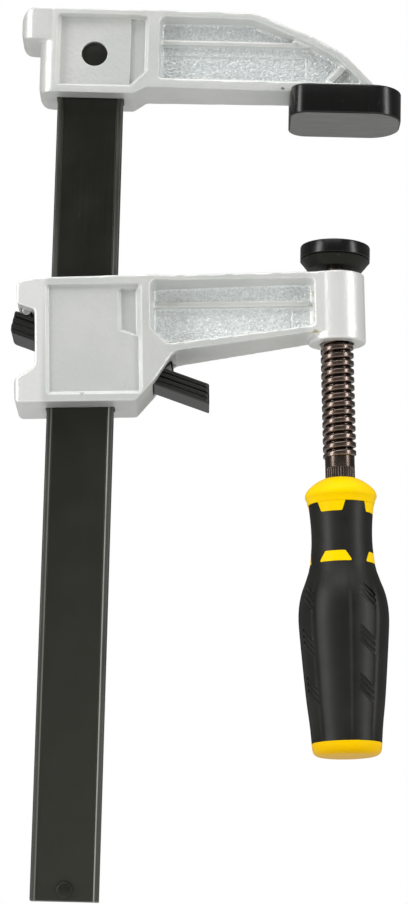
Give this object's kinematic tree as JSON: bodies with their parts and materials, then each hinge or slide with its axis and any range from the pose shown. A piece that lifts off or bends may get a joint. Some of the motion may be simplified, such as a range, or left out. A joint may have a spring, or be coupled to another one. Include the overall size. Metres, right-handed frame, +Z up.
{
  "type": "f-clamp",
  "caption": "F-clamp with a flat steel bar, ribbed cast jaws, lever-released sliding jaw, screw spindle with swivel pad and two-colour hand grip.",
  "frame": {"origin": "centre of the fixed pad's clamping face, in the bar's mid-plane", "axes": "+Z up along the bar, from the free end towards the fixed jaw; +X from the bar towards the pads; +Y across the thickness, away from the viewer; the fixed pad's face looks along -Z"},
  "size_m": [0.1864, 0.0432, 0.4332],
  "materials": {
    "cast_silver_paint": "satin silver-grey paint over a cast surface",
    "blackened_steel": "satin black oxide",
    "oxide_steel": "oiled dark brown-black oxide",
    "bright_steel": "zinc-plated",
    "glossy_black_plastic": "glossy",
    "matt_black_plastic": "satin moulded",
    "soft_black_grip": "matt overmould",
    "yellow_plastic": "smooth moulded",
    "nylon_liner": "plain"
  },
  "bodies": {
    "bar": {"bar_rail": "blackened_steel", "fixed_jaw": "cast_silver_paint", "jaw_pin": "blackened_steel", "fixed_pad": "glossy_black_plastic", "end_stop": "blackened_steel"},
    "slider": {"sliding_jaw": "cast_silver_paint", "lever_pivot_pin": "bright_steel", "brake_spring": "blackened_steel"},
    "brake_lever": {"brake_plate": "bright_steel", "lever_grip_left": "matt_black_plastic", "lever_grip_right": "matt_black_plastic"},
    "pad_carrier": {"socket_liner": "nylon_liner"},
    "screw": {"spindle": "oxide_steel", "handle_core": "yellow_plastic", "handle_grip": "soft_black_grip"},
    "pad": {"swivel_pad": "blackened_steel", "swivel_pad_cap": "glossy_black_plastic"}
  },
  "joints": [
    {"name": "jaw_slide", "type": "slide", "parent": "bar", "child": "slider", "axis": [0, 0, -1], "range_m": [-0.0125, 0.223]},
    {"name": "lever_pivot", "type": "hinge", "parent": "slider", "child": "brake_lever", "pos_m": [-0.15187, 0, -0.10063], "axis": [0, -1, 0], "range_deg": [0, 5], "stiffness_Nm_per_rad": 0.5, "springref_deg": -8.59, "deforming": ["brake_spring"]},
    {"name": "spindle_feed", "type": "slide", "parent": "slider", "child": "pad_carrier", "axis": [-0.0384, 0, 0.9993], "range_m": [-0.001, 0.048]},
    {"name": "spindle_turn", "type": "hinge", "parent": "pad_carrier", "child": "screw", "pos_m": [-0.00219, 0, -0.11029], "axis": [-0.0384, 0, 0.9993], "range_deg": [-91, 4325]},
    {"name": "pad_tilt", "type": "hinge", "parent": "pad_carrier", "child": "pad", "pos_m": [-0.00371, 0, -0.07082], "axis": [0, 1, 0], "range_deg": [-4, 4]}
  ],
  "couplings": [
    {"joint": "spindle_turn", "follows": "spindle_feed", "rad_per_m": 1570.8}
  ]
}
